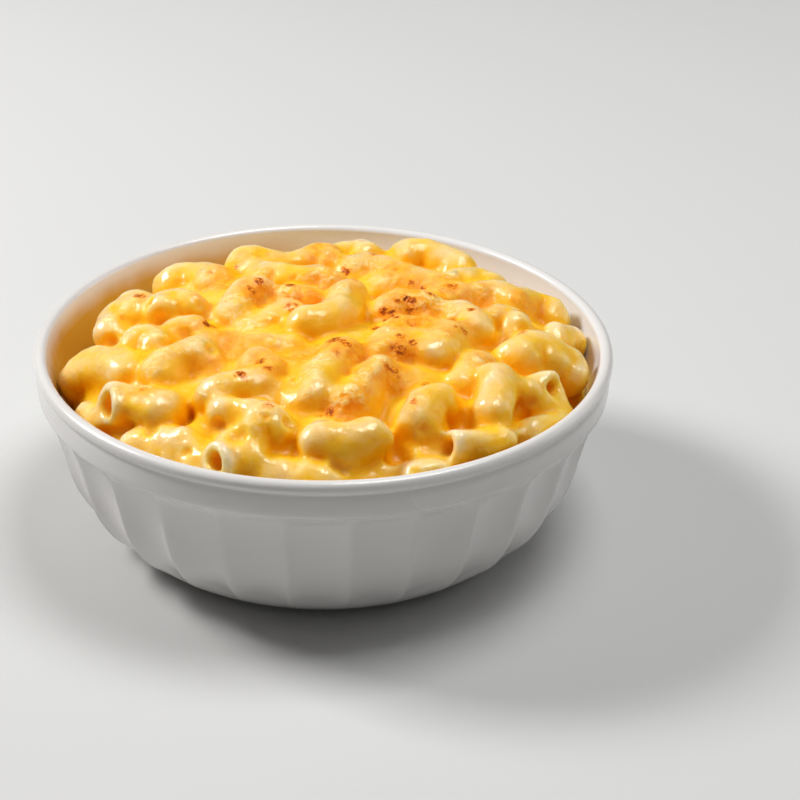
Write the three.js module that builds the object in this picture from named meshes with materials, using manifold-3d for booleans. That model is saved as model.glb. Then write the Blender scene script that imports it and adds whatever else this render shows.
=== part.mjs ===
// Macaroni and cheese in a round fluted stoneware dish.
// Millimetres, +Z up. The origin is the centre of the dish's underside, on the surface it stands on; the front is -Y.
// Two solids: the dish, and the heap of macaroni in cheese sauce that fills it and rises above its rim.
import * as THREE from "three";
import { mergeVertices } from "three/addons/utils/BufferGeometryUtils.js";
import Module from "manifold-3d";

// ---- dish ----
const RIM_R = 64; // outer radius at the rim
const DISH_H = 43.3; // height to the top of the lip
const LIP_R = 1.5; // rounding radius of the lip
const LIP_GROOVE = 0.76; // hollow just under the lip
const BAND_R = RIM_R - 0.5; // the plain band under the lip
const BAND_BOTTOM = 34.6; // and its lower edge
const BAND_LEDGE = 1; // step in from the band to the fluted wall
const FOOT_OUT = 38.4;
const FOOT_IN = 35.1;
const FOOT_RECESS = 1.2;
const FLUTES = 28;
const FIRST_RIDGE = (5.3 * Math.PI) / 180; // turn from the front to the first ridge between two flutes
const FLUTE_STEPS = 4; // facets across one flute
const FLUTE_DEPTH = 1.5;
const FLUTE_TOP = [BAND_BOTTOM - 0.2, BAND_BOTTOM - 3]; // a flute deepens between these heights
const FLUTE_END = [9, 2.2]; // and runs out between these
const FLOOR_Z = 4.8; // top of the dish's floor

// Outside of the wall at the flutes' ridges, and the inside of the wall: radius at each height.
const OUTER = [
  [FOOT_OUT, 0],
  [44, 1.2],
  [49.1, 4.6],
  [53.2, 8.8],
  [56.4, 14.2],
  [58.1, 18.9],
  [59.7, 25.6],
  [61.4, 31.9],
  [BAND_R - BAND_LEDGE, BAND_BOTTOM - 0.35],
];
const INNER = [
  [60.2, 39.5],
  [58.6, 34],
  [56.2, 27],
  [54.4, 19.5],
  [51.8, 13.5],
  [47.6, 8.6],
  [41.5, 5.6],
  [34, FLOOR_Z],
];

// ---- food ----
const CLEARANCE = 0.35; // between the food and the glaze
const MOUND = { x: 2.5, y: -4.5, r: 57.5, top: 10.8, dome: 4.2, shoulder: 12 }; // crowns of the elbows, above the middle of the lip
const PASTA_R = 4.4; // an elbow's outer radius with its coat of sauce
const PASTA_SIDES = 7;
const BEND_R = 8.5; // radius of an elbow's bend
const BEND_ARC = 1.9; // and its sweep, in radians
const BEND_STEPS = 4;
const SAUCE_DROP = 5; // how far the sauce lies below the elbows' crowns
const ELBOW_RINGS = [
  [0, 1, Math.PI],
  [13, 5, Math.PI],
  [26, 9, Math.PI],
  [38.5, 13, Math.PI],
  [48.5, 17, 0.4],
]; // radius of each ring of elbows, how many lie in it, and how far each may turn from lying along the ring
const SAUCE_STEPS = 48;
const SAUCE_RINGS = [55, 49, 40, 28, 14];
const SAUCE_ON_WALL = [28, 38]; // lowest and highest place where the sauce meets the wall
const MERGE = 0.36; // facets flatter than this to each other are joined

const smooth = (a, b, x) => {
  const t = Math.min(1, Math.max(0, (x - a) / (b - a)));
  return t * t * (3 - 2 * t);
};
const lerpTable = (table, z) => {
  const t = [...table].sort((a, b) => a[1] - b[1]);
  if (z <= t[0][1]) return t[0][0];
  for (let i = 1; i < t.length; i++)
    if (z <= t[i][1])
      return (
        t[i - 1][0] +
        ((t[i][0] - t[i - 1][0]) * (z - t[i - 1][1])) / (t[i][1] - t[i - 1][1])
      );
  return t[t.length - 1][0];
};

// The lathe turns about Y, so its result is stood up: phi = 0 faces the front, -Y.
function turned(points, steps, start) {
  const g = new THREE.LatheGeometry(
    points.map(([r, z]) => new THREE.Vector2(r, z)),
    steps,
    start,
    Math.PI * 2,
  );
  return g.rotateX(Math.PI / 2);
}

function dish() {
  const lipZ = DISH_H - LIP_R,
    lipC = RIM_R - LIP_R;
  const lip = [-36, 10, 50, 90, 135, 180].map((deg) => {
    const a = (deg * Math.PI) / 180;
    return [lipC + LIP_R * Math.cos(a), lipZ + LIP_R * Math.sin(a)];
  });
  const profile = [
    [0, FOOT_RECESS],
    [FOOT_IN - 0.8, FOOT_RECESS],
    [FOOT_IN, 0],
    ...OUTER,
    [BAND_R - 0.15, BAND_BOTTOM + 0.5],
    [BAND_R, BAND_BOTTOM + 2.2],
    [RIM_R - LIP_GROOVE, lipZ - 1.5],
    ...lip,
    ...INNER,
    [0, FLOOR_Z],
  ];
  const g = turned(profile, FLUTES * FLUTE_STEPS, FIRST_RIDGE);
  // Flutes are scooped out of the outside of the wall, full depth at each one's middle.
  const p = g.attributes.position,
    n = profile.length,
    wallFrom = 3,
    wallTo = 3 + OUTER.length;
  for (let i = 0; i < p.count; i++) {
    const ring = i % n;
    if (ring < wallFrom || ring >= wallTo) continue;
    const x = p.getX(i),
      y = p.getY(i),
      z = p.getZ(i),
      r = Math.hypot(x, y);
    const turn =
        ((Math.atan2(x, -y) - FIRST_RIDGE) / (2 * Math.PI)) * FLUTES,
      u = 2 * (turn - Math.floor(turn)) - 1;
    const depth =
      FLUTE_DEPTH *
      (1 - u * u) *
      smooth(FLUTE_TOP[0], FLUTE_TOP[1], z) *
      smooth(FLUTE_END[1], FLUTE_END[0], z);
    p.setXY(i, (x * (r - depth)) / r, (y * (r - depth)) / r);
  }
  return g;
}

// Height of the elbows' crowns at a place on the heap.
function crown(x, y) {
  const q = Math.hypot(x - MOUND.x, y - MOUND.y) / MOUND.r;
  return (
    DISH_H - LIP_R + MOUND.top - MOUND.dome * q ** 2 - MOUND.shoulder * q ** 10
  );
}

const wasm = await Module();
wasm.setup();

function solid(geometry) {
  const g = geometry.clone();
  g.deleteAttribute("normal");
  g.deleteAttribute("uv");
  const m = mergeVertices(g, 1e-3);
  return new wasm.Manifold(
    new wasm.Mesh({
      numProp: 3,
      vertProperties: m.attributes.position.array,
      triVerts: new Uint32Array(m.index.array),
    }),
  );
}

function geometryOf(manifold) {
  const m = manifold.getMesh();
  return new THREE.BufferGeometry()
    .setAttribute(
      "position",
      new THREE.BufferAttribute(new Float32Array(m.vertProperties), 3),
    )
    .setIndex(new THREE.BufferAttribute(new Uint32Array(m.triVerts), 1));
}

// One elbow: a section swept round its bend, which lies in XY and is centred on the origin.
class Bend extends THREE.Curve {
  getPoint(t) {
    const a = (t - 0.5) * BEND_ARC;
    return new THREE.Vector3(
      BEND_R * (Math.cos(a) - Math.cos(BEND_ARC / 4)),
      BEND_R * Math.sin(a),
      0,
    );
  }
}

function elbow() {
  const section = new THREE.Shape(
    Array.from({ length: PASTA_SIDES }, (_, i) => {
      const a = ((i + 0.5) * 2 * Math.PI) / PASTA_SIDES;
      return new THREE.Vector2(PASTA_R * Math.cos(a), PASTA_R * Math.sin(a));
    }),
  );
  return new THREE.ExtrudeGeometry(section, {
    steps: BEND_STEPS,
    extrudePath: new Bend(),
    bevelEnabled: false,
  });
}

// Elbows lie in rings on the mound, tangent to it. Each is turned, tipped and raised by its own share of two golden ratios.
function elbows() {
  return ELBOW_RINGS.flatMap(([r, count, loose], ring) =>
    Array.from({ length: count }, (_, i) => {
      const k = ring * 31 + i,
        share = (k * 0.6180339887) % 1,
        other = (k * 0.7548776662) % 1,
        a = ((i + 0.37 * ring) / count) * Math.PI * 2;
      const x = MOUND.x + r * Math.cos(a),
        y = MOUND.y + r * Math.sin(a),
        step = 0.5;
      const up = new THREE.Vector3(
        (crown(x - step, y) - crown(x + step, y)) / (2 * step),
        (crown(x, y - step) - crown(x, y + step)) / (2 * step),
        1,
      ).normalize();
      const lie = new THREE.Quaternion()
        .setFromUnitVectors(new THREE.Vector3(0, 0, 1), up)
        .multiply(
          new THREE.Quaternion().setFromEuler(
            new THREE.Euler(
              0,
              (other - 0.5) * 0.5,
              a + (share - 0.5) * 2 * loose,
              "ZYX",
            ),
          ),
        );
      const place = new THREE.Vector3(x, y, crown(x, y)).addScaledVector(
        up,
        -PASTA_R - 0.4 + (other - 0.5) * 1.6,
      );
      return elbow().applyMatrix4(
        new THREE.Matrix4().compose(place, lie, new THREE.Vector3(1, 1, 1)),
      );
    }),
  );
}

function heap() {
  const inside = (z) => lerpTable(INNER, z) - CLEARANCE;
  const under = [
    [0, FLOOR_Z + CLEARANCE],
    [34, FLOOR_Z + CLEARANCE],
    [41.5 - CLEARANCE, 5.6 + CLEARANCE],
    [47.6 - CLEARANCE, 8.6 + CLEARANCE],
    [inside(13.5), 13.5],
    [inside(19.5), 19.5],
    [inside(27), 27],
  ];
  // The space the food may take: the inside of the dish, carried straight up.
  const room = solid(
    turned(
      [
        ...under,
        [inside(34), 34],
        [inside(39.5), 39.5],
        [inside(39.5), 75],
        [0, 75],
      ],
      SAUCE_STEPS,
      Math.PI / FLUTES,
    ),
  );
  // The sauce between the elbows. Its first ring above `under` is where it meets the wall, higher at the front right.
  const sauce = turned(
    [
      ...under,
      [inside(30), 30],
      ...SAUCE_RINGS.map((r) => [r, 30]),
      [0, 30],
    ],
    SAUCE_STEPS,
    Math.PI / FLUTES,
  );
  const p = sauce.attributes.position,
    n = under.length + SAUCE_RINGS.length + 2;
  for (let i = 0; i < p.count; i++) {
    const ring = (i % n) - under.length;
    if (ring < 0) continue;
    const x = p.getX(i),
      y = p.getY(i),
      z = crown(x, y) - SAUCE_DROP;
    if (ring > 0) p.setZ(i, z);
    else {
      const on = Math.min(SAUCE_ON_WALL[1], Math.max(SAUCE_ON_WALL[0], z)),
        k = inside(on) / Math.hypot(x, y);
      p.setXYZ(i, x * k, y * k, on);
    }
  }
  let food = solid(sauce);
  for (const e of elbows()) food = food.add(solid(e));
  // The outer shell alone: a pocket of air that the elbows shut in is filled.
  const shells = food.intersect(room).asOriginal().simplify(MERGE).decompose();
  return geometryOf(
    shells.reduce((a, b) => (b.volume() > a.volume() ? b : a)),
  );
}

const mesh = (name, geometry, color, roughness) => {
  geometry.computeVertexNormals();
  const m = new THREE.Mesh(
    geometry,
    new THREE.MeshStandardMaterial({ color, roughness, metalness: 0 }),
  );
  m.name = name;
  return m;
};

const group = new THREE.Group();
group.add(mesh("dish", dish(), 0xeceae6, 0.25));
group.add(mesh("macaroni_and_cheese", heap(), 0xf3bd4e, 0.4));
export default group;
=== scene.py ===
import bpy, math
import numpy as np
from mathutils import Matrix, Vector


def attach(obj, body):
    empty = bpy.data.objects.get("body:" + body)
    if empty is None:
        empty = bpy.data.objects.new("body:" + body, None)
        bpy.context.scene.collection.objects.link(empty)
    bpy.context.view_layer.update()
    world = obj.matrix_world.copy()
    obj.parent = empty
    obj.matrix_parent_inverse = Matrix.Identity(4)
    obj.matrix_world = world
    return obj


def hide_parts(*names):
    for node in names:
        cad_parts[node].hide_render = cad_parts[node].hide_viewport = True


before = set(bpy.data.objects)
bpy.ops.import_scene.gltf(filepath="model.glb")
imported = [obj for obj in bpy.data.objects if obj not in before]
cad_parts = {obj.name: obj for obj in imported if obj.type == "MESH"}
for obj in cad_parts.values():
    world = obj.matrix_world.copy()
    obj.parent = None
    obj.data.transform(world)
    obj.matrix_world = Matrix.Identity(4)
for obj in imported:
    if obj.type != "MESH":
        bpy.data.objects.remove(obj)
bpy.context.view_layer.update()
MM = 0.001

# ---------------------------------------------------------------- sizes shared with the CAD
RIM_R, DISH_H, LIP_R = 64.0, 43.3, 1.5
BAND_BOTTOM = 34.6
FLUTES, FLUTE_DEPTH = 28, 1.5
FIRST_RIDGE = math.radians(5.3)  # the first ridge right of the front
LIP_Z = DISH_H - LIP_R
OUTER = [(38.4, 0), (44.0, 1.2), (49.1, 4.6), (53.2, 8.8), (56.4, 14.2), (58.1, 18.9), (59.7, 25.6), (61.4, 31.9), (62.5, 34.25)]
INNER = [(60.2, 39.5), (58.6, 34), (56.2, 27), (54.4, 19.5), (51.8, 13.5), (47.6, 8.6), (41.5, 5.6), (34, 4.8)]
MOUND_X, MOUND_Y, MOUND_R, MOUND_TOP, DOME, SHOULDER = 2.5, -4.5, 57.5, 10.8, 4.2, 12.0

# ---------------------------------------------------------------- camera
ELEV = math.radians(26.92)
DIST = 8 * RIM_R
FOCAL = 2307.0  # in pixels of an 800-pixel frame
CENTRE = np.array([0.0, 0.0, LIP_Z])
RIM_PX = (323.0, 344.9)  # where the middle of the rim lies in the frame
BACK = np.array([0.0, -math.cos(ELEV), math.sin(ELEV)])
UP = np.array([0.0, math.sin(ELEV), math.cos(ELEV)])
EYE = CENTRE + DIST * BACK


def make_camera():
    data = bpy.data.cameras.new("camera")
    data.sensor_width, data.lens = 36.0, FOCAL * 36 / 800
    data.clip_start, data.clip_end = 0.05, 20
    cam = bpy.data.objects.new("camera", data)
    bpy.context.scene.collection.objects.link(cam)
    cam.location = Vector(EYE) * MM
    cam.rotation_mode = "QUATERNION"
    cam.rotation_quaternion = Vector(-BACK).to_track_quat("-Z", "Y")
    data.shift_x, data.shift_y = (400 - RIM_PX[0]) / 800, (RIM_PX[1] - 400) / 800  # the dish stands left of and above the middle
    bpy.context.scene.camera = cam


# ---------------------------------------------------------------- small tools
def smooth(a, b, x):
    t = np.clip((x - a) / (b - a), 0, 1)
    return t * t * (3 - 2 * t)


def inside_r(z):
    t = sorted(INNER, key=lambda p: p[1])
    return np.interp(z, [p[1] for p in t], [p[0] for p in t])


def crown(x, y):
    q = np.hypot(x - MOUND_X, y - MOUND_Y) / MOUND_R
    return LIP_Z + MOUND_TOP - DOME * q**2 - SHOULDER * q**10


def hash3(i, j, k, seed):
    n = (i * 374761393 + j * 668265263 + k * 2147483647 + seed * 1274126177) & 0xFFFFFFFF
    n = ((n ^ (n >> 13)) * 1274126177) & 0xFFFFFFFF
    n = ((n ^ (n >> 16)) * 2246822519) & 0xFFFFFFFF
    return ((n ^ (n >> 15)) & 0xFFFFFF) / float(0xFFFFFF)


def noise3(p, size, seed):
    """Value noise, -1 to 1, at the rows of p, with features about size across."""
    q = p / size
    f = np.floor(q)
    t = q - f
    t = t * t * (3 - 2 * t)
    f = f.astype(np.int64)
    out = np.zeros(len(p))
    for a in (0, 1):
        for b in (0, 1):
            for c in (0, 1):
                w = (t[:, 0] if a else 1 - t[:, 0]) * (t[:, 1] if b else 1 - t[:, 1]) * (t[:, 2] if c else 1 - t[:, 2])
                out += w * hash3(f[:, 0] + a, f[:, 1] + b, f[:, 2] + c, seed)
    return out * 2 - 1


def mesh_object(name, verts, faces, smooth_shade=True):
    me = bpy.data.meshes.new(name)
    me.from_pydata((np.asarray(verts) * MM).tolist(), [], faces)
    me.validate()
    me.update()
    if smooth_shade:
        me.polygons.foreach_set("use_smooth", [True] * len(me.polygons))
    o = bpy.data.objects.new(name, me)
    bpy.context.scene.collection.objects.link(o)
    return o


def attribute(o, name, values):
    a = o.data.attributes.new(name, "FLOAT", "POINT")
    a.data.foreach_set("value", np.asarray(values, np.float32))


def curve_through(points, step):
    """Points along a smooth curve through the given ones, about step apart."""
    p = np.array(points, float)
    out = []
    for i in range(len(p) - 1):
        a, b, c, d = p[max(i - 1, 0)], p[i], p[i + 1], p[min(i + 2, len(p) - 1)]
        n = max(1, int(round(np.linalg.norm(c - b) / step)))
        chord = np.linalg.norm(c - b)
        m0 = (c - a) * chord / max(np.linalg.norm(c - b) + np.linalg.norm(b - a), 1e-9)
        m1 = (d - b) * chord / max(np.linalg.norm(c - b) + np.linalg.norm(d - c), 1e-9)
        for k in range(n):
            t = k / n
            out.append((2 * t**3 - 3 * t**2 + 1) * b + (t**3 - 2 * t**2 + t) * m0 + (-2 * t**3 + 3 * t**2) * c + (t**3 - t**2) * m1)
    out.append(p[-1])
    return np.array(out)


# ---------------------------------------------------------------- dish
def make_dish():
    lip_c = RIM_R - LIP_R
    lip = [(lip_c + LIP_R * math.cos(math.radians(d)), LIP_Z + LIP_R * math.sin(math.radians(d))) for d in range(-36, 186, 12)]
    foot = [(0.01, 1.2), (20, 1.2), (33.8, 1.2), (34.6, 0.55), (35.1, 0.08), (35.8, 0.0), (37.8, 0.0)]
    outer = list(curve_through([(38.4, 0.05)] + OUTER[1:], 1.1))
    band = [(62.8, 34.5), (63.1, 34.75), (63.35, 35.2), (63.46, 35.9), (63.5, 37.0), (63.48, 38.6), (63.42, 39.4), (63.32, 39.95), (63.24, 40.3), (63.3, 40.6), (63.48, 40.8)]
    inner = list(curve_through(INNER, 2.0))
    profile = np.array(foot + [tuple(p) for p in outer] + band + lip + [tuple(p) for p in inner] + [(18, 4.8), (0.01, 4.8)])
    first = len(foot)
    last = first + len(outer)
    n = FLUTES * 14
    phi = np.arange(n) * 2 * math.pi / n + FIRST_RIDGE
    verts = []
    for k, (r, z) in enumerate(profile):
        u = np.arange(n) % 14 / 7 - 1
        depth = 0.0
        if first <= k < last:
            depth = FLUTE_DEPTH * (1 - u * u) * smooth(BAND_BOTTOM - 0.2, BAND_BOTTOM - 3, z) * smooth(2.2, 9, z)
        rr = r - depth
        verts.append(np.stack([rr * np.sin(phi), -rr * np.cos(phi), np.full(n, z)], 1))
    m = len(profile)
    idx = np.arange(m * n).reshape(m, n)
    a, b = idx[:-1], idx[1:]
    faces = np.stack([a, np.roll(a, -1, 1), np.roll(b, -1, 1), b], -1).reshape(-1, 4).tolist()
    faces.append(idx[0][::-1].tolist())
    faces.append(idx[-1].tolist())
    verts = np.concatenate(verts)
    o = mesh_object("fluted_dish", verts, faces)
    # painted shade and amber bounce light from the food on the inside of the wall, at the left and the back left
    r, x, y, z = np.hypot(verts[:, 0], verts[:, 1]), verts[:, 0], verts[:, 1], verts[:, 2]
    side = np.clip((-x * 0.94 + y * 0.34) / np.maximum(r, 1) * 0.5 + 0.5, 0, 1)
    ragged = noise3(verts, 9, 61) * 1.6 + noise3(verts, 3.5, 62) * 0.6
    stain = smooth(0.6, 0.9, side) * (1 - smooth(37.5, 43.2, z + ragged))
    # and painted shade in the gap beside the heap at the right
    stain = np.maximum(stain, 1 - smooth(5, 13, np.linalg.norm(verts - [56, -21, 33], axis=1) + ragged))
    within = (r < inside_r(z) + 0.4) & (z > 6)
    attribute(o, "stain", np.where(within, stain, 0))
    # painted light: a cool white tint on the inside of the wall and the inner side of the rim, holding back the food's
    # warm bounce light
    attribute(o, "cool", np.where(z > 36, 1 - smooth(61, 62.3, r), within))
    return o


# ---------------------------------------------------------------- macaroni
# Elbows that show from the front. Each is three places along its middle, in the pixels of the frame, its radius in mm, which ends are
# open (s, e), and how far it is lifted from the mound. at() puts each place on the mound, so all of them sit on what carries them.
SHOWN = [
    # left
    ((79, 394), (96, 374), (135, 379), 5.3, "", 0.3),
    ((86, 420), (94, 421), (107, 426), 3.4, "", -1.5),
    ((110, 404), (138, 406), (170, 414), 4.9, "s", 0.8),
    ((126, 453), (143, 450), (158, 456), 3.6, "", -0.8),
    ((168, 436), (169, 448), (173, 464), 3.3, "", -0.6),
    ((182, 438), (190, 448), (200, 462), 3.6, "", -0.8),
    ((113, 338), (118, 323), (138, 318), 4.6, "", 0.3),
    ((128, 310), (140, 306), (158, 310), 3.4, "", 0.0),
    ((136, 352), (147, 344), (160, 352), 3.9, "", 0.0),
    ((164, 318), (176, 306), (194, 312), 4.7, "", 0.8),
    ((170, 292), (188, 285), (222, 286), 5.0, "", 0.2),
    ((168, 340), (186, 335), (204, 333), 3.9, "", -0.8),
    ((160, 382), (180, 364), (212, 360), 4.8, "", 0.8),
    ((204, 352), (216, 348), (238, 348), 4.2, "", -0.4),
    ((208, 401), (236, 391), (270, 384), 4.7, "", 1.2),
    ((250, 372), (262, 364), (276, 376), 3.4, "", 0.3),
    ((215, 457), (236, 461), (262, 456), 3.8, "s", 0.6),
    ((216, 418), (232, 414), (250, 418), 3.3, "", 0.0),
    ((222, 440), (240, 444), (252, 438), 3.0, "", -0.6),
    ((186, 472), (196, 469), (206, 474), 3.0, "", -1.6),
    # front
    ((254, 444), (265, 424), (284, 436), 4.3, "", 0.8),
    ((311, 436), (345, 444), (381, 432), 4.5, "", 1.4),
    ((298, 482), (312, 481), (330, 487), 4.1, "", -0.6),
    ((262, 480), (276, 476), (288, 481), 3.6, "", -1.2),
    ((413, 481), (427, 477), (441, 474), 3.8, "", -0.2),
    ((446, 446), (476, 444), (503, 445), 4.2, "s", 0.9),
    ((504, 446), (513, 446), (520, 446), 3.2, "e", -0.6),
    ((418, 425), (431, 406), (450, 405), 4.5, "", 0.8),
    # right
    ((530, 441), (544, 434), (558, 438), 4.1, "", 0.0),
    ((494, 419), (496, 396), (496, 378), 4.0, "", 1.2),
    ((521, 394), (534, 388), (548, 389), 3.8, "e", 0.3),
    ((536, 408), (546, 404), (556, 408), 3.4, "", -1.5),
    ((550, 424), (557, 421), (564, 419), 2.8, "", -2.4),
    ((512, 360), (532, 352), (552, 362), 4.9, "", 0.8),
    ((553, 366), (568, 367), (570, 380), 4.6, "", 0.4),
    ((553, 343), (564, 343), (574, 353), 4.3, "", 0.0),
    ((512, 312), (534, 311), (552, 324), 4.7, "", 0.2),
    ((494, 326), (508, 323), (519, 336), 4.6, "", 0.4),
    ((452, 324), (466, 322), (476, 340), 4.2, "", 0.2),
    ((420, 358), (441, 350), (452, 336), 5.1, "", 1.2),
    ((470, 372), (478, 366), (488, 362), 3.0, "", -0.6),
    ((458, 392), (466, 376), (474, 364), 3.8, "", -1.8),
    ((466, 285), (480, 284), (492, 292), 4.1, "", 0.0),
    ((476, 301), (490, 299), (502, 305), 4.2, "", 0.0),
    # back
    ((232, 272), (241, 270), (252, 276), 4.2, "", 0.0),
    ((250, 270), (266, 267), (282, 274), 4.9, "", 0.2),
    ((302, 270), (319, 264), (336, 272), 5.0, "", 0.4),
    ((338, 260), (352, 257), (368, 262), 4.4, "", 0.0),
    ((350, 276), (372, 273), (398, 281), 4.7, "", 0.2),
    ((402, 266), (418, 261), (434, 269), 5.0, "", 0.2),
    ((438, 270), (453, 271), (463, 279), 4.6, "", 0.0),
    # middle
    ((296, 328), (332, 322), (347, 297), 5.0, "", 1.6),
    ((234, 316), (243, 301), (262, 294), 4.7, "", 0.8),
    ((256, 286), (272, 281), (294, 286), 4.5, "", 0.2),
    ((286, 305), (300, 300), (316, 305), 4.2, "", -0.5),
    ((302, 288), (318, 284), (336, 288), 4.2, "", -0.2),
    ((315, 400), (326, 374), (346, 354), 4.8, "", 1.4),
    ((344, 408), (364, 392), (387, 373), 4.6, "", 0.4),
    ((376, 360), (386, 350), (398, 346), 4.2, "", 0.2),
    ((396, 358), (404, 350), (416, 346), 4.0, "", 0.2),
    ((384, 318), (404, 309), (428, 316), 4.9, "", 0.8),
    ((404, 292), (418, 288), (436, 294), 4.6, "", 0.0),
    ((438, 306), (450, 300), (466, 302), 4.4, "", 0.0),
    ((444, 290), (456, 285), (470, 290), 4.3, "", 0.0),
    ((392, 338), (410, 334), (432, 336), 4.2, "", -0.2),
    ((380, 292), (394, 285), (410, 281), 4.2, "", -0.2),
    ((392, 389), (404, 386), (414, 382), 4.0, "", -1.6),
    ((272, 396), (286, 400), (300, 410), 4.0, "", -1.8),
    ((246, 352), (272, 352), (300, 354), 4.0, "", -1.2),
]
# Hollows in the sauce, painted inside with an orange glow: place and radius in mm.
HOLLOWS = [(110, 343, 2.1), (160, 324, 2.3), (186, 334, 2.0), (212, 347, 1.5), (146, 301, 1.7), (290, 421, 1.7), (237, 433, 2.2), (218, 425, 1.7), (186, 452, 0.9),
           (425, 430, 1.2), (344, 470, 1.0), (337, 465, 1.3), (532, 402, 1.2), (200, 305, 1.0), (415, 470, 1.0), (150, 431, 1.2)]
# Gaps between the elbows: place, radius and depth in mm.
GAPS = [(183, 409, 2.0, 4), (396, 439, 2.6, 3.6), (384, 464, 3.4, 0.6), (490, 339, 2.2, 2.5), (519, 405, 2.6, 3), (579, 399, 3.6, 10), (460, 414, 2.4, 2),
        (372, 305, 1.6, 1)]
# Open ends: how far each one's axis turns to the eye, and the width of its hole as part of the elbow's.
OPEN = {(110, 404): (0.6, 0.5), (215, 457): (0.8, 0.5), (446, 446): (0.32, 0.45), (520, 446): (0.5, 0.6), (548, 389): (0.74, 0.44)}


def ray(px, py):
    return np.array([(px - RIM_PX[0]) / FOCAL, 0, 0]) + UP * ((RIM_PX[1] - py) / FOCAL) - BACK


def at(px, py, below):
    """The place seen at a pixel, on the surface that lies below the crowns by so much."""
    p = EYE + np.linspace(DIST * 0.6, DIST * 1.4, 1600)[:, None] * ray(px, py)
    over = p[:, 2] - crown(p[:, 0], p[:, 1]) + below
    inside = np.hypot(p[:, 0], p[:, 1]) < 60
    hit = np.nonzero((over < 0) & inside)[0]
    return p[hit[0]] if len(hit) else p[np.argmin(np.where(inside, over, 1e9))]


def elbow_path(a, b, c, n=9):
    """A curve from a to c through b."""
    t = np.linspace(0, 1, n)[:, None]
    m = 2 * b - (a + c) / 2
    return (1 - t) ** 2 * a + 2 * t * (1 - t) * m + t**2 * c


def trimmed(path, start, end):
    """The path without so much of its start and its end."""
    s = np.concatenate([[0], np.cumsum(np.linalg.norm(np.diff(path, axis=0), axis=1))])
    t = np.linspace(min(start, 0.44 * s[-1]), s[-1] - min(end, 0.44 * s[-1]), len(path))
    return np.stack([np.interp(t, s, path[:, k]) for k in range(3)], 1)


def turned_out(tip, middle, far, facing):
    """An open end, moved out of the heap until its axis turns to the eye."""
    t = 3 * tip - 4 * middle + far
    along = t.dot(BACK)
    across = np.linalg.norm(t - along * BACK)
    return tip + BACK * min(max((facing / math.sqrt(1 - facing**2) * across - along) / 3, 0), 7)


def make_elbows():
    """Every elbow as (path, radius, open ends, width of the hole)."""
    out = []
    for a, b, c, r, ends, lift in SHOWN:
        pts = [at(*p, r + 0.4 - lift) for p in (a, b, c)]
        wide = 0.48
        if "s" in ends:
            facing, wide = OPEN[a]
            pts[0] = turned_out(pts[0], pts[1], pts[2], facing)
        if "e" in ends:
            facing, wide = OPEN[c]
            pts[2] = turned_out(pts[2], pts[1], pts[0], facing)
        path = trimmed(elbow_path(*pts), 0 if "s" in ends else 0.5 * r, 0 if "e" in ends else 0.5 * r)
        out.append((path, r, ends, wide))
    shown = np.concatenate([e[0] for e in out])
    gaps = [(at(px, py, 4), r) for px, py, r, _ in GAPS]
    rng = np.random.default_rng(11)

    def lay(x, y, below, turn, r, bulge):
        step = 0.5
        up = np.array([(crown(x - step, y) - crown(x + step, y)) / (2 * step), (crown(x, y - step) - crown(x, y + step)) / (2 * step), 1.0])
        up /= np.linalg.norm(up)
        along = np.array([math.cos(turn), math.sin(turn), 0.0])
        along -= up * along.dot(up)
        along /= np.linalg.norm(along)
        side = np.cross(up, along)
        mid = np.array([x, y, crown(x, y)]) - up * (r + below)
        half = rng.uniform(4.2, 6.4)
        tip = rng.uniform(-1.6, 1.6)
        return elbow_path(mid - along * half - side * bulge * 0.5 - up * tip, mid + side * bulge * 0.5, mid + along * half - side * bulge * 0.5 + up * tip)

    def fill(spacing, below, clear, limit):
        for i, rad in enumerate(np.arange(0, limit, spacing)):
            count = max(1, int(round(2 * math.pi * rad / (spacing * 1.15))))
            for j in range(count):
                a = (j + 0.37 * i + rng.uniform(-0.2, 0.2)) / count * 2 * math.pi
                rr = rad + rng.uniform(-1, 1)
                x, y = MOUND_X + rr * math.cos(a), MOUND_Y + rr * math.sin(a)
                r = rng.uniform(4.1, 4.9)
                turn = rng.uniform(0, 2 * math.pi) if rad < limit - spacing * 1.2 else a + math.pi / 2 + rng.uniform(-0.6, 0.6)
                bulge = rng.uniform(3.0, 6.5)
                path = lay(x, y, below + rng.uniform(-0.9, 0.7), turn, r, bulge)
                ends = "e" if rng.random() < 0.35 else ""
                if clear and np.min(np.linalg.norm(shown[:, None] - path, axis=2)) < clear:
                    continue
                if any(np.min(np.linalg.norm(path - c, axis=1)) < r + g for c, g in gaps):
                    continue
                out.append((path, r, ends if clear else "", 0.55))

    fill(10.5, 0.5, 5.6, 50.5)
    fill(9.0, 2.8, 4.6, 52)
    fill(10.0, 5.4, 0, 52)
    # low elbows between the heap and the wall at the back
    for a in np.radians(np.arange(52, 140, 16.5)):
        r, rr, turn = rng.uniform(4.0, 4.6), 50.6 + rng.uniform(-1, 0.8), a + rng.uniform(-0.35, 0.35)
        x, y = rr * math.cos(a), rr * math.sin(a)
        mid = np.array([x, y, min(crown(x, y) - 2.8, 37) - r])
        outwards = np.array([math.cos(turn), math.sin(turn), 0]) * rng.uniform(1.2, 2.2)
        along = np.array([-math.sin(turn), math.cos(turn), rng.uniform(-0.15, 0.15)]) * rng.uniform(4.2, 5.6)
        out.append((elbow_path(mid - along - outwards, mid + outwards, mid + along - outwards), r, "", 0.55))
    return out


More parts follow.
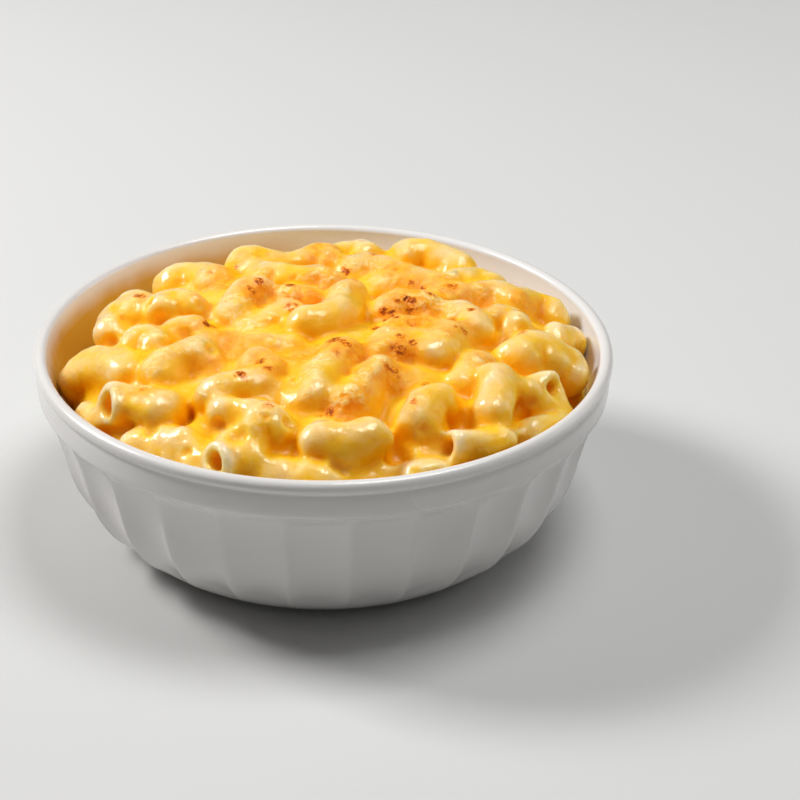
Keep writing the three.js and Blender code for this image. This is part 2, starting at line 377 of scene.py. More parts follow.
def tube(P, path, ends):
    """Distance from the rows of P to the middle line of a tube, and how far they lie past its two ends. Ends that aren't open are round."""
    best = np.full(len(P), 1e9)
    which = np.zeros(len(P), int)
    n = len(path) - 1
    for i in range(n):
        a, b = path[i], path[i + 1]
        ab = b - a
        t = (P - a) @ ab / ab.dot(ab)
        lo = -np.inf if i == 0 and "s" in ends else 0.0
        hi = np.inf if i == n - 1 and "e" in ends else 1.0
        t = np.clip(t, lo, hi)
        d = np.linalg.norm(P - a - t[:, None] * ab, axis=1)
        near = d < best
        best[near], which[near] = d[near], i
    t0 = path[0] - path[1]
    t1 = path[-1] - path[-2]
    e0 = (P - path[0]) @ (t0 / np.linalg.norm(t0))
    e1 = (P - path[-1]) @ (t1 / np.linalg.norm(t1))
    e0[which > n // 2] = -1e3
    e1[which < n // 2] = -1e3
    return best, e0, e1


def smax(a, b, k):
    h = np.clip(0.5 - 0.5 * (b - a) / k, 0, 1)
    return b * (1 - h) + a * h + k * h * (1 - h)


def smin(a, b, k):
    return -smax(-a, -b, k)


VOX = 0.57
SAUCE_BELOW = 6.0  # how far the sauce lies below the elbows' crowns
FILM_BELOW = 4.2  # and where cheese has melted over it
WEB = 2.6  # how widely the sauce joins one elbow to the next

# Melted cheese between the elbows: place in the pixels of the frame, reach in mm.
FILM = [
    (216, 335, 5), (235, 346, 5), (255, 352, 5), (275, 356, 5), (296, 360, 5), (262, 292, 4), (282, 296, 4), (308, 296, 4), (228, 282, 4),
    (360, 352, 5), (352, 374, 3), (412, 326, 6), (424, 308, 6), (432, 322, 5), (408, 300, 5), (392, 324, 4), (346, 402, 4), (360, 386, 4),
    (376, 376, 4), (396, 368, 4), (408, 350, 3), (394, 300, 4), (436, 286, 5), (460, 296, 4), (500, 304, 3), (330, 280, 4), (396, 266, 4),
    (182, 336, 3), (300, 280, 4), (288, 392, 4), (472, 352, 4),
]
# Crinkled cream: place, reach in mm.
CRINKLE = [
    (236, 318, 4.5), (250, 330, 4), (264, 328, 4), (272, 322, 3), (244, 304, 4), (232, 296, 3), (212, 300, 3), (208, 276, 3.5), (196, 290, 3.5),
    (262, 274, 4), (284, 292, 3.5), (306, 282, 4), (326, 276, 3.5), (308, 372, 4), (318, 358, 3.5), (300, 376, 3), (336, 408, 2.6), (344, 398, 3),
    (352, 390, 3), (362, 380, 3), (372, 370, 3), (366, 396, 3), (386, 348, 3), (378, 358, 2.6), (362, 376, 2.4), (388, 284, 3.5), (372, 266, 3.5),
    (404, 256, 2.5), (440, 302, 4), (430, 296, 3), (448, 274, 3), (478, 288, 2.6), (492, 314, 2.6), (502, 334, 2), (160, 352, 4), (150, 366, 3.4),
    (178, 350, 3.4), (196, 346, 3), (118, 316, 3), (132, 328, 2.6), (150, 386, 2.4), (234, 366, 2.6), (196, 328, 1.8), (164, 334, 2.4),
    (480, 364, 2.4), (488, 372, 2), (200, 396, 2.6), (224, 382, 2.6), (262, 416, 2.6), (258, 428, 2.2), (352, 262, 3), (118, 388, 1.6), (424, 312, 2),
    (340, 286, 3.4), (392, 316, 3), (410, 304, 3), (306, 396, 2), (274, 342, 2.2), (288, 364, 2), (450, 310, 2.6), (412, 410, 1.8),
]


class Grid:
    def __init__(self):
        self.lo = np.array([-60.5, -60.5, 24.0])
        self.shape = np.ceil((np.array([60.5, 60.5, 60.0]) - self.lo) / VOX).astype(int) + 1
        self.ax = [self.lo[i] + np.arange(self.shape[i]) * VOX for i in range(3)]
        self.X, self.Y, self.Z = (a.astype(np.float32) for a in np.meshgrid(*self.ax, indexing="ij"))

    def block(self, pts, m):
        i0 = np.maximum(np.floor((pts.min(0) - m - self.lo) / VOX).astype(int), 0)
        i1 = np.minimum(np.ceil((pts.max(0) + m - self.lo) / VOX).astype(int) + 1, self.shape)
        return tuple(slice(a, max(a, b)) for a, b in zip(i0, i1))

    def places(self, s):
        return np.stack([self.X[s].ravel(), self.Y[s].ravel(), self.Z[s].ravel()], 1).astype(float)

    def noise(self, size, seed):
        """Smooth noise on the whole grid, about -1 to 1, with features about size across."""
        w = []
        for a in self.ax:
            q = (a - a[0]) / size
            f = np.floor(q).astype(int)
            t = q - f
            t = t * t * (3 - 2 * t)
            m = np.zeros((len(a), f.max() + 2), np.float32)
            m[np.arange(len(a)), f] += 1 - t
            m[np.arange(len(a)), f + 1] += t
            w.append(m)
        r = np.random.default_rng(seed).uniform(-1, 1, [m.shape[1] for m in w]).astype(np.float32)
        r = np.tensordot(w[2], r, (1, 2)).transpose(1, 2, 0)
        r = np.tensordot(w[1], r, (1, 1)).transpose(1, 0, 2)
        return np.tensordot(w[0], r, (1, 0))

    def value(self, field, p):
        """The field between its grid places, at the rows of p."""
        q = np.clip((p - self.lo) / VOX, 0, np.array(self.shape) - 1.001)
        f = np.floor(q).astype(int)
        t = q - f
        out = 0
        for a in (0, 1):
            for b in (0, 1):
                for c in (0, 1):
                    w = (t[:, 0] if a else 1 - t[:, 0]) * (t[:, 1] if b else 1 - t[:, 1]) * (t[:, 2] if c else 1 - t[:, 2])
                    out = out + w * field[f[:, 0] + a, f[:, 1] + b, f[:, 2] + c]
        return out

    def seen(self, D, px, py):
        """The first place of the surface on the line of sight through a pixel."""
        t = np.arange(DIST * 0.82, DIST * 1.2, 0.25)
        p = EYE + t[:, None] * ray(px, py)
        ok = np.all((p > self.lo) & (p < self.lo + (self.shape - 1) * VOX), axis=1)
        p = p[ok]
        hit = np.nonzero(self.value(D, p) < 0)[0]
        return p[hit[0]] if len(hit) else at(px, py, 4)

    def blur(self, F, r):
        """Mean over a box of 2r + 1 places, twice."""
        n = 2 * r + 1
        for _ in range(2):
            for k in range(3):
                pad = [(0, 0)] * 3
                pad[k] = (r + 1, r)
                c = np.cumsum(np.pad(F, pad, mode="edge"), axis=k, dtype=np.float64)
                hi, lo = [slice(None)] * 3, [slice(None)] * 3
                hi[k], lo[k] = slice(n, None), slice(0, -n)
                F = ((c[tuple(hi)] - c[tuple(lo)]) / n).astype(np.float32)
        return F


def mask_at(g, D, places, soft=0.45):
    """How far each grid place lies in a list of patches, 0 to 1, with ragged edges."""
    out = np.zeros(D.shape, np.float32)
    rag = g.noise(3.0, 41) * 1.1 + g.noise(1.4, 42) * 0.6
    for px, py, reach in places:
        c = g.seen(D, px, py)
        s = g.block(c[None], reach * 1.3 + 2)
        d = np.linalg.norm(g.places(s) - c, axis=1).reshape(out[s].shape) + rag[s]
        out[s] = np.maximum(out[s], 1 - smooth(reach * soft, reach * 1.1, d))
    return out


def make_field(g, elbows):
    X, Y, Z = g.X, g.Y, g.Z
    x, y = X[:, :, 0], Y[:, :, 0]
    film = np.zeros(x.shape)
    for px, py, reach in FILM:
        c = at(px, py, 3.5)
        film = np.maximum(film, 1 - smooth(reach * 0.5, reach * 1.4, np.hypot(x - c[0], y - c[1])))
    wob = g.noise(9, 3)[:, :, 40] * 1.1 + g.noise(4, 4)[:, :, 40] * 0.5
    sauce = crown(x, y) - SAUCE_BELOW + (SAUCE_BELOW - FILM_BELOW) * film + wob * (1 - 0.5 * film)
    for px, py, r, deep in GAPS:
        c = at(px, py, 4)
        sauce = sauce - deep * (1 - smooth(r * 0.5, r * 1.8, np.hypot(x - c[0], y - c[1])))
    sauce = np.maximum(sauce, 28.5 + wob)[:, :, None]
    D = ((Z - sauce) * 0.8).astype(np.float32)
    tint = np.zeros(D.shape, np.float32)
    near = np.full(D.shape, 3.0, np.float32)
    lump = g.noise(5.5, 17) * 0.45 + g.noise(2.6, 18) * 0.24
    warp = [g.noise(8.0, 23 + k) * 0.9 for k in range(3)]
    rng = np.random.default_rng(5)
    holes = []
    for path, r, ends, hollowed in elbows:
        s = g.block(path, r + 4)
        if D[s].size == 0:
            continue
        P = g.places(s) + np.stack([w[s].ravel() for w in warp], 1)
        q, e0, e1 = tube(P, path, ends)
        body = q - r + lump[s].ravel()
        for end, e in (("s", e0), ("e", e1)):
            if end in ends:
                body = smax(body, e, 1.4)
        body = body.reshape(D[s].shape)
        mine = body < near[s]
        t = tint[s]
        t[mine] = rng.uniform(-1, 1)
        near[s] = np.minimum(near[s], body)
        D[s] = smin(D[s], body, WEB)
        for end, tip, nxt in (("s", path[0], path[2]), ("e", path[-1], path[-3])):
            if end in ends:
                holes.append((tip, nxt, r * hollowed))
    hole = np.full(D.shape, 9.0, np.float32)
    for tip, nxt, r in holes:
        axis = (nxt - tip) / np.linalg.norm(nxt - tip)
        a, b = tip - axis * 3.0, tip + axis * 3.0
        s = g.block(np.array([a, b]), r + 3)
        P = g.places(s) + np.stack([w[s].ravel() for w in warp], 1)
        t = np.clip((P - a) @ (b - a) / (b - a).dot(b - a), 0, 1)
        h = (np.linalg.norm(P - a - t[:, None] * (b - a), axis=1) - r).reshape(D[s].shape)
        D[s] = smax(D[s], -h, 1.0)
        hole[s] = np.minimum(hole[s], h)
    for px, py, r in HOLLOWS:
        c = g.seen(D, px, py) - ray(px, py) * 0.25 * r
        s = g.block(c[None], r + 3)
        h = (np.linalg.norm(g.places(s) - c, axis=1) - r).reshape(D[s].shape) + lump[s] * 0.6
        D[s] = smax(D[s], -h, 0.9)
        hole[s] = np.minimum(hole[s], h)
    crinkle = mask_at(g, D, CRINKLE)
    fold = np.abs(g.noise(1.7, 51)) * 0.5 + np.abs(g.noise(1.15, 52)) * 0.35
    D += crinkle * (fold - 0.22) * 0.75
    D += (g.noise(1.9, 53) * 0.10).astype(np.float32)
    R = np.hypot(X, Y)
    D = np.maximum(D, R - (inside_r(Z) - 0.12)).astype(np.float32)
    return D, tint, hole, crinkle, film


def surface_nets(D, lo):
    """Vertices and quads of the zero surface of D."""
    neg = D < 0
    nx, ny, nz = D.shape
    c = np.zeros((nx - 1, ny - 1, nz - 1), np.uint8)
    for a in (0, 1):
        for b in (0, 1):
            for e in (0, 1):
                c += neg[a : nx - 1 + a, b : ny - 1 + b, e : nz - 1 + e]
    cells = np.argwhere((c > 0) & (c < 8))
    index = np.full(c.shape, -1, np.int64)
    index[tuple(cells.T)] = np.arange(len(cells))
    total = np.zeros((len(cells), 3))
    count = np.zeros(len(cells))
    corner = [(a, b, e) for a in (0, 1) for b in (0, 1) for e in (0, 1)]
    for p in corner:
        for axis in range(3):
            if p[axis]:
                continue
            q = list(p)
            q[axis] = 1
            v0 = D[tuple((cells + p).T)]
            v1 = D[tuple((cells + q).T)]
            cross = (v0 < 0) != (v1 < 0)
            t = np.where(cross, v0 / np.where(cross, v0 - v1, 1), 0)
            pt = np.array(p, float) + np.zeros((len(cells), 3))
            pt[:, axis] += t
            total[cross] += pt[cross]
            count[cross] += 1
    verts = lo + (cells + total / count[:, None]) * VOX
    quads = []
    for axis in range(3):
        u, v = (axis + 1) % 3, (axis + 2) % 3
        s0 = [slice(None)] * 3
        s1 = [slice(None)] * 3
        s0[axis], s1[axis] = slice(0, -1), slice(1, None)
        n0, n1 = neg[tuple(s0)], neg[tuple(s1)]
        e = np.argwhere(n0 != n1)
        e = e[(e[:, u] > 0) & (e[:, v] > 0) & (e[:, u] < D.shape[u] - 1) & (e[:, v] < D.shape[v] - 1)]
        du, dv = np.zeros(3, int), np.zeros(3, int)
        du[u], dv[v] = 1, 1
        q = np.stack([index[tuple((e - du - dv).T)], index[tuple((e - dv).T)], index[tuple(e.T)], index[tuple((e - du).T)]], 1)
        flip = ~n0[tuple(e.T)]
        q[flip] = q[flip][:, ::-1]
        quads.append(q)
    return verts, np.concatenate(quads)


def keep_largest(verts, quads):
    """Drops what isn't joined to the largest piece."""
    label = np.arange(len(verts))
    while True:
        low = label[quads].min(1)
        new = label.copy()
        for k in range(4):
            np.minimum.at(new, quads[:, k], low)
        new = new[new]
        if np.array_equal(new, label):
            break
        label = new
    ids, n = np.unique(label[quads[:, 0]], return_counts=True)
    quads = quads[label[quads[:, 0]] == ids[np.argmax(n)]]
    used = np.unique(quads)
    back = np.full(len(verts), -1)
    back[used] = np.arange(len(used))
    return verts[used], back[quads]


def relax(verts, quads, rounds):
    edges = np.concatenate([quads[:, [0, 1]], quads[:, [1, 2]], quads[:, [2, 3]], quads[:, [3, 0]]])
    deg = np.bincount(edges.ravel(), minlength=len(verts))[:, None]
    z0 = verts[:, 2].min() + 0.4
    for _ in range(rounds):
        s = np.zeros_like(verts)
        for k in range(3):
            s[:, k] = np.bincount(edges[:, 0], verts[edges[:, 1], k], len(verts)) + np.bincount(edges[:, 1], verts[edges[:, 0], k], len(verts))
        new = verts + 0.5 * (s / deg - verts)
        held = verts[:, 2] < z0
        new[held] = verts[held]
        verts = new
    return verts


# Browned spots: place in the pixels of the frame, size in mm, strength.
SPOTS = [
    (405, 298, 2.0, 1.0), (399, 300, 1.4, 0.8), (414, 301, 1.5, 0.95), (411, 310, 1.6, 0.75), (384, 312, 1.6, 0.95), (391, 313, 1.2, 0.8),
    (396, 317, 1.5, 0.9), (386, 320, 1.4, 0.9), (376, 328, 1.6, 0.75), (430, 293, 1.8, 0.7), (424, 289, 1.3, 0.7), (411, 283, 1.7, 0.7),
    (396, 270, 1.4, 0.5), (372, 254, 1.6, 0.45), (258, 280, 2.0, 0.8), (252, 289, 1.5, 0.75), (291, 285, 1.8, 0.8), (289, 306, 2.4, 0.55),
    (296, 305, 1.5, 0.5), (208, 324, 1.9, 1.0), (213, 327, 1.7, 0.7), (139, 295, 2.0, 0.75), (220, 263, 2.2, 0.7), (236, 268, 1.4, 0.6),
    (210, 272, 1.4, 0.4), (334, 339, 2.8, 0.85), (327, 342, 1.4, 0.65), (342, 340, 1.6, 0.65), (348, 345, 1.5, 0.75), (336, 351, 1.6, 0.55),
    (400, 336, 1.9, 0.7), (400, 350, 2.4, 0.75), (394, 348, 1.5, 0.6), (414, 342, 1.3, 0.75), (388, 368, 2.0, 0.75), (394, 371, 1.6, 0.6),
    (398, 376, 1.5, 0.4), (452, 319, 2.0, 0.9), (464, 330, 1.6, 0.7), (455, 327, 1.1, 0.6), (470, 309, 1.5, 0.75), (451, 286, 2.2, 0.65),
    (484, 285, 1.3, 0.75), (441, 288, 1.5, 0.45), (241, 373, 2.0, 0.85), (236, 375, 1.4, 0.7), (246, 378, 1.5, 0.5), (262, 361, 1.8, 0.9),
    (268, 369, 1.7, 0.65), (345, 272, 2.0, 0.85), (356, 280, 1.3, 0.65), (522, 332, 2.0, 0.55), (426, 385, 1.6, 0.7), (414, 402, 1.9, 0.5),
    (330, 413, 1.6, 0.75), (318, 416, 1.4, 0.55), (268, 405, 1.7, 0.5), (292, 404, 1.1, 0.5), (144, 389, 1.8, 0.4), (319, 243, 1.8, 0.45),
    (420, 318, 1.8, 0.35), (408, 322, 1.8, 0.4), (302, 297, 1.6, 0.35), (430, 330, 2.0, 0.3), (362, 360, 2.4, 0.3), (228, 300, 1.2, 0.3),
]
# Melted cheese, more orange than the sauce: place, reach in mm, strength.
TOPPINGS = [
    (410, 305, 9, 1.0), (420, 325, 8, 1.0), (400, 325, 7, 0.9), (425, 288, 7, 0.9), (400, 282, 6, 0.7), (262, 288, 7, 0.9), (285, 294, 7, 1.0),
    (306, 296, 6, 1.0), (232, 281, 6, 0.9), (205, 305, 4, 0.9), (222, 332, 7, 1.0), (240, 346, 7, 1.0), (262, 354, 7, 1.0), (288, 360, 7, 1.0),
    (306, 352, 5, 0.9), (358, 352, 7, 1.0), (362, 366, 5, 0.9), (348, 402, 5, 1.0), (360, 388, 5, 0.9), (374, 374, 5, 0.9), (395, 372, 6, 0.9),
    (404, 352, 6, 0.9), (322, 250, 6, 0.9), (268, 256, 5, 0.6), (242, 258, 4, 0.6), (380, 258, 5, 0.7), (398, 266, 5, 0.8), (325, 276, 6, 0.8),
    (452, 296, 7, 0.9), (440, 284, 6, 0.8), (474, 296, 6, 0.8), (462, 324, 5, 0.9), (452, 330, 4, 0.8), (488, 312, 5, 0.6), (522, 298, 4, 0.8),
    (535, 310, 4, 0.5), (186, 336, 5, 0.9), (200, 318, 4, 0.7), (145, 300, 3, 0.9), (220, 265, 4, 0.8), (335, 346, 5, 0.9), (482, 356, 5, 0.8),
    (340, 416, 4, 0.9), (408, 404, 4, 0.7), (146, 391, 3, 0.6), (412, 384, 4, 0.5), (268, 368, 5, 0.7), (350, 282, 4, 0.4), (205, 372, 5, 0.5),
]


def make_macaroni():
    g = Grid()
    elbows = make_elbows()
    D, tint, hole, crinkle, film = make_field(g, elbows)
    verts, quads = surface_nets(D, g.lo)
    verts, quads = keep_largest(verts, quads)
    verts = relax(verts, quads, 1)
    # painted glow inside the hollows and the open ends of the elbows
    hollow = 1 - smooth(0.0, 1.0, g.value(hole, verts))
    # how much the surface faces up and a little left, towards the key lamp: those faces get painted light, a paler skin
    round_off = g.blur(D, 1)
    slope = np.stack([g.value(round_off, verts + step) - g.value(round_off, verts - step) for step in np.eye(3) * 0.6], 1)
    up = slope @ np.array([-0.42, 0.1, 0.9]) / np.maximum(np.linalg.norm(slope, axis=1), 1e-6)
    tints = g.value(g.blur(tint, 1), verts)
    # how much of the space around a place is food: under a half on a crown, over it in a gap; it sets the painted shade
    # in the gaps
    food = np.clip(0.5 - D / 1.2, 0, 1)
    near, wide = g.value(g.blur(food, round(0.8 / VOX)), verts), g.value(g.blur(food, round(2.4 / VOX)), verts)
    ragged = noise3(verts, 4.0, 21) * 1.6 + noise3(verts, 1.8, 22) * 0.8
    topping = np.zeros(len(verts))
    for px, py, reach, k in TOPPINGS:
        d = np.linalg.norm(verts - g.seen(D, px, py), axis=1) + ragged
        topping = np.maximum(topping, k * (1 - smooth(reach * 0.4, reach * 1.15, d)))
    char = np.zeros(len(verts))
    for px, py, reach, k in SPOTS:
        d = np.linalg.norm(verts - g.seen(D, px, py), axis=1) + noise3(verts, 1.4, 31) * 0.7
        char = np.maximum(char, min(k * 1.12, 1) * (1 - smooth(reach * 0.12, reach * 1.08, d)))
    # a closed bottom: the open edge is joined to one point in the middle of the underside
    e = np.concatenate([quads[:, [0, 1]], quads[:, [1, 2]], quads[:, [2, 3]], quads[:, [3, 0]]])
    key = np.sort(e, 1)
    _, inv, n = np.unique(key, axis=0, return_inverse=True, return_counts=True)
    edge = e[n[inv.ravel()] == 1]
    middle = len(verts)
    used = verts
    verts = np.vstack([verts, [[0, 0, verts[:, 2].min()]]])
    faces = quads.tolist() + np.stack([edge[:, 1], edge[:, 0], np.full(len(edge), middle)], 1).tolist()
    o = mesh_object("macaroni", verts, faces)
    shown = {"up": up, "hollow": hollow, "tint": tints, "topping": topping, "char": char, "near": near, "wide": wide}
    shown["crinkle"] = g.value(crinkle, used)
    for name, values in shown.items():
        attribute(o, name, np.append(values, 0.5))
    print("macaroni", len(elbows), "elbows", len(verts), "vertices", 2 * len(quads) + len(edge), "triangles")
    return o


def make_core():
    """The unseen body of sauce and pasta below the elbows."""
    prof = [(r - 0.3, z + 0.3) for r, z in INNER[::-1] if z < 24] + [(inside_r(24.2) - 0.5, 24.2)]
    prof = [(0.01, 5.1)] + prof + [(0.01, 24.2)]
    n = 96
    phi = np.arange(n) * 2 * math.pi / n
    verts = np.concatenate([np.stack([r * np.sin(phi), -r * np.cos(phi), np.full(n, z)], 1) for r, z in prof])
    idx = np.arange(len(prof) * n).reshape(len(prof), n)
    a, b = idx[:-1], idx[1:]
    faces = np.stack([a, np.roll(a, -1, 1), np.roll(b, -1, 1), b], -1).reshape(-1, 4).tolist()
    faces += [idx[0][::-1].tolist(), idx[-1].tolist()]
    return mesh_object("sauce_core", verts, faces)


# ---------------------------------------------------------------- materials
def material(name):
    m = bpy.data.materials.new(name)
    m.use_nodes = True
    t = m.node_tree
    return m, t, t.nodes["Principled BSDF"]


def lin(r, g, b):
    return tuple(((c / 255) / 12.92 if c / 255 <= 0.04045 else ((c / 255 + 0.055) / 1.055) ** 2.4) for c in (r, g, b)) + (1.0,)


def node(t, kind, **inputs):
    n = t.nodes.new(kind)
    for k, v in inputs.items():
        n.inputs[k.replace("_", " ")].default_value = v
    return n


def ramp(t, source, stops):
    n = t.nodes.new("ShaderNodeValToRGB")
    n.color_ramp.elements[0].position, n.color_ramp.elements[0].color = stops[0]
    n.color_ramp.elements[1].position, n.color_ramp.elements[1].color = stops[-1]
    for p, c in stops[1:-1]:
        e = n.color_ramp.elements.new(p)
        e.color = c
    t.links.new(source, n.inputs[0])
    return n.outputs[0]


def mix(t, fac, a, b, mode="MIX"):
    n = t.nodes.new("ShaderNodeMix")
    n.data_type, n.blend_type = "RGBA", mode
    for socket, v in ((n.inputs[0], fac), (n.inputs[6], a), (n.inputs[7], b)):
        if isinstance(v, (float, int, tuple)):
            socket.default_value = v
        else:
            t.links.new(v, socket)
    return n.outputs[2]


def calc(t, op, a, b=None, c=None):
    n = t.nodes.new("ShaderNodeMath")
    n.operation = op
    for socket, v in zip(n.inputs, (a, b, c)):
        if v is None:
            continue
        if isinstance(v, (float, int)):
            socket.default_value = v
        else:
            t.links.new(v, socket)
    return n.outputs[0]


def noise_node(t, scale, detail=3.0, rough=0.5, distort=0.0):
    """Object-space noise; scale is features per metre."""
    co = t.nodes.new("ShaderNodeTexCoord")
    n = node(t, "ShaderNodeTexNoise", Scale=scale, Detail=detail, Roughness=rough, Distortion=distort)
    t.links.new(co.outputs["Object"], n.inputs["Vector"])
    return n.outputs["Fac"]


def attr(t, name):
    n = t.nodes.new("ShaderNodeAttribute")
    n.attribute_name = name
    return n.outputs["Fac"]


def bump(t, height, strength, distance, under=None):
    n = node(t, "ShaderNodeBump", Strength=strength, Distance=distance)
    t.links.new(height, n.inputs["Height"])
    if under is not None:
        t.links.new(under, n.inputs["Normal"])
    return n.outputs["Normal"]


def glaze_material():
    m, t, s = material("white_glaze")
    speck = noise_node(t, 260, 4, 0.6)
    broad = noise_node(t, 22, 2, 0.5)
    base = ramp(t, broad, [(0.3, lin(217, 214, 211)), (0.7, lin(224, 222, 219))])
    white = mix(t, calc(t, "MULTIPLY", speck, 0.06), base, lin(212, 209, 203))
    # painted light: cool white on the inside of the wall
    white = mix(t, calc(t, "MULTIPLY", attr(t, "cool"), 0.8), white, lin(224, 234, 246))
    # painted shade and amber bounce light from the food, over the white glaze
    t.links.new(mix(t, calc(t, "MULTIPLY", attr(t, "stain"), 0.97), white, lin(190, 142, 0)), s.inputs["Base Color"])
    t.links.new(ramp(t, broad, [(0.3, (0.2, 0.2, 0.2, 1)), (0.7, (0.28, 0.28, 0.28, 1))]), s.inputs["Roughness"])
    s.inputs["IOR"].default_value = 1.5
    s.inputs["Coat Weight"].default_value = 0.25
    s.inputs["Coat Roughness"].default_value = 0.12
    n = bump(t, broad, 0.15, 0.0006)
    t.links.new(bump(t, speck, 0.05, 0.0002, n), s.inputs["Normal"])
    return m


def food_material():
    m, t, s = material("macaroni_in_cheese_sauce")
    names = ("up", "hollow", "tint", "topping", "char", "near", "wide", "crinkle")
    up, hollow, tint, topping, char, near, wide, crinkle = (attr(t, n) for n in names)
    big, mid, fine = noise_node(t, 130, 3, 0.5), noise_node(t, 420, 4, 0.6), noise_node(t, 1500, 4, 0.65)
    # painted shade: pale cream on the crowns, through gold to darker amber in the gaps, where shade falls
    cavity = calc(t, "ADD", calc(t, "MULTIPLY", near, 0.45), calc(t, "MULTIPLY", wide, 0.55))
    where = calc(t, "ADD", cavity, calc(t, "MULTIPLY", calc(t, "SUBTRACT", big, 0.5), 0.30))
    where = calc(t, "ADD", where, calc(t, "MULTIPLY", calc(t, "SUBTRACT", mid, 0.5), 0.10))
    where = calc(t, "ADD", where, calc(t, "MULTIPLY", tint, 0.02))
    # painted light and shade: faces turned away from the upper left go more golden
    where = calc(t, "ADD", where, calc(t, "MULTIPLY", calc(t, "SUBTRACT", 0.72, up), 0.13))
    base = ramp(
        t, where,
        [(0.3, lin(255, 217, 176)), (0.4, lin(255, 206, 128)), (0.5, lin(253, 193, 46)), (0.62, lin(250, 179, 4)), (0.86, lin(228, 146, 0))],
    )
    # orange melted cheese
    melted = ramp(t, mid, [(0.3, lin(230, 134, 0)), (0.5, lin(241, 152, 0)), (0.72, lin(252, 179, 2))])
    patchy = calc(t, "MULTIPLY", topping, ramp(t, big, [(0.34, (0.5, 0.5, 0.5, 1)), (0.56, (1, 1, 1, 1))]))
    c = mix(t, calc(t, "MULTIPLY", patchy, 0.9), base, melted)
    # crinkled cream stands out on the folds, not down in the gaps, and runs in thin strands over the melted cheese
    strand = noise_node(t, 440, 3, 0.55, 1.4)
    crinkle = calc(t, "MULTIPLY", crinkle, ramp(t, where, [(0.44, (1, 1, 1, 1)), (0.6, (0, 0, 0, 1))]))
    c = mix(t, calc(t, "MULTIPLY", crinkle, 0.5), c, lin(253, 194, 58))
    lines = ramp(t, strand, [(0.46, (0, 0, 0, 1)), (0.6, (1, 1, 1, 1))])
    c = mix(t, calc(t, "MULTIPLY", calc(t, "MULTIPLY", topping, lines), 0.35), c, lin(255, 208, 96))
    c = mix(t, calc(t, "MULTIPLY", calc(t, "MULTIPLY", crinkle, lines), 0.75), c, lin(255, 220, 164))
    # painted glow: bright yellow inside the hollows
    c = mix(t, calc(t, "MULTIPLY", hollow, 0.9), c, lin(254, 198, 60))
    # browning, from orange through rust to brown
    toast = calc(t, "MULTIPLY", char, ramp(t, fine, [(0.38, (0.25, 0.25, 0.25, 1)), (0.6, (1, 1, 1, 1))]))
    burnt = ramp(t, toast, [(0.0, lin(246, 160, 0)), (0.35, lin(226, 126, 0)), (0.62, lin(172, 78, 0)), (0.9, lin(92, 32, 0))])
    c = mix(t, ramp(t, toast, [(0.1, (0, 0, 0, 1)), (0.4, (1, 1, 1, 1))]), c, burnt)
    t.links.new(c, s.inputs["Base Color"])
    plain = calc(t, "SUBTRACT", 1.0, calc(t, "MINIMUM", toast, 1.0))
    t.links.new(calc(t, "MULTIPLY", plain, 0.95), s.inputs["Subsurface Weight"])
    s.inputs["Subsurface Radius"].default_value = (0.85, 0.9, 0.3)
    s.inputs["Subsurface Scale"].default_value = 0.004
    s.inputs["IOR"].default_value = 1.45
    s.inputs["Specular IOR Level"].default_value = 0.15
    wet = ramp(t, mid, [(0.3, (0.3, 0.3, 0.3, 1)), (0.7, (0.5, 0.5, 0.5, 1))])
    t.links.new(mix(t, calc(t, "MULTIPLY", char, 0.8), wet, (0.75, 0.75, 0.75, 1)), s.inputs["Roughness"])
    wetness = ramp(t, where, [(0.42, (1, 1, 1, 1)), (0.56, (0.2, 0.2, 0.2, 1))])
    wetness = calc(t, "MULTIPLY", wetness, calc(t, "SUBTRACT", 1.0, calc(t, "MULTIPLY", patchy, 0.7)))
    t.links.new(calc(t, "MULTIPLY", plain, wetness), s.inputs["Coat Weight"])
    s.inputs["Coat Roughness"].default_value = 0.08
    # relief: soft unevenness everywhere, crinkled strands where cream has dried. The finest isn't in the coat, which keeps its glints crisp.
    stringy = calc(t, "ADD", calc(t, "ADD", crinkle, calc(t, "MULTIPLY", topping, 0.6)), 0.1)
    soft = bump(t, noise_node(t, 300, 1.5, 0.4, 0.6), 0.3, 0.0009)
    strands = calc(t, "MULTIPLY", strand, stringy)
    t.links.new(bump(t, strands, 0.9, 0.0018, soft), s.inputs["Coat Normal"])
    n = bump(t, mid, 0.3, 0.0008, bump(t, strands, 0.45, 0.0012, soft))
    t.links.new(bump(t, fine, 0.24, 0.00025, n), s.inputs["Normal"])
    return m


def floor_material():
    m, t, s = material("studio_floor")
    s.inputs["Base Color"].default_value = lin(203, 203, 202)
    s.inputs["Roughness"].default_value = 0.85
    return m


# ---------------------------------------------------------------- stage
def area(name, place, size, power, colour=(1, 1, 1)):
    data = bpy.data.lights.new(name, "AREA")
    data.shape, data.size, data.energy, data.color = "SQUARE", size, power, colour
    o = bpy.data.objects.new(name, data)
    o.location = place
    o.rotation_mode = "QUATERNION"
    o.rotation_quaternion = (Vector((0, 0, 0.03)) - Vector(place)).to_track_quat("-Z", "Y")
    bpy.context.scene.collection.objects.link(o)


def make_stage():
    me = bpy.data.meshes.new("floor")
    me.from_pydata([(-6, -6, -0.0001), (6, -6, -0.0001), (6, 6, -0.0001), (-6, 6, -0.0001)], [], [(0, 1, 2, 3)])
    floor = bpy.data.objects.new("floor", me)
    bpy.context.scene.collection.objects.link(floor)
    floor.data.materials.append(floor_material())
    area("key", (-0.68, 0.25, 0.66), 0.28, 8.2, (1, 0.99, 0.975))
    area("top", (0.25, 0.05, 1.0), 0.45, 6.3)
    area("side", (0.95, 0.3, 0.4), 0.6, 1.4)
    world = bpy.data.worlds.new("studio")
    world.use_nodes = True
    bg = world.node_tree.nodes["Background"]
    bg.inputs[0].default_value, bg.inputs[1].default_value = (0.97, 0.98, 1, 1), 0.1
    bpy.context.scene.world = world
    bpy.context.scene.view_settings.view_transform = "Standard"


make_camera()
make_stage()

dish = make_dish()
dish.data.materials.append(glaze_material())
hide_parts("dish")
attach(dish, "root")

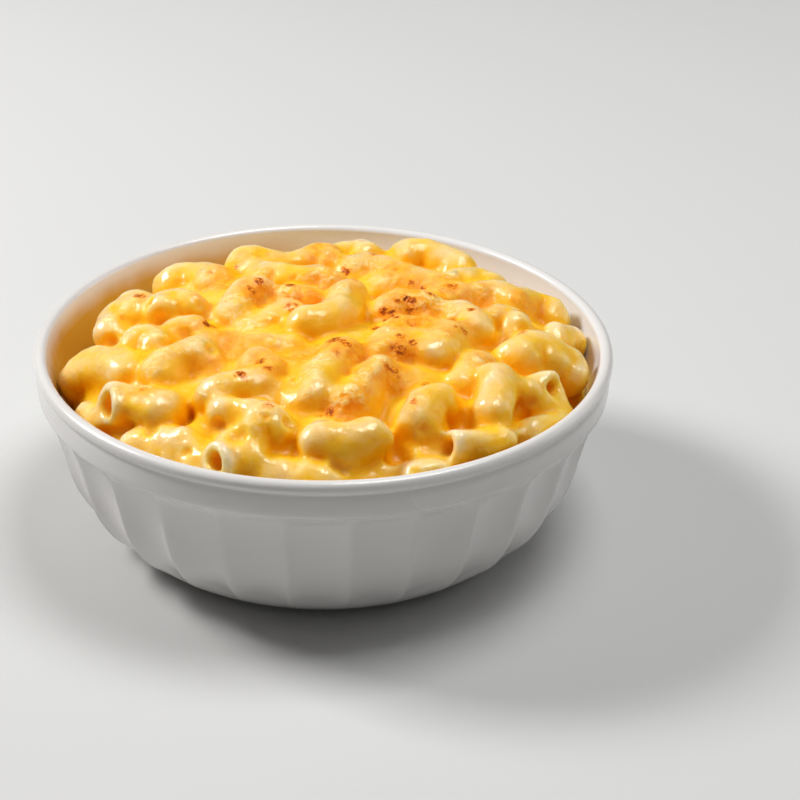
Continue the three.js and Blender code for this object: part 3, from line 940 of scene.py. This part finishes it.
food = food_material()
macaroni = make_macaroni()
macaroni.data.materials.append(food)
core = make_core()
core.data.materials.append(food)
for piece in (macaroni, core):
    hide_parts("macaroni_and_cheese")
    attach(piece, "root")

bpy.context.view_layer.update()
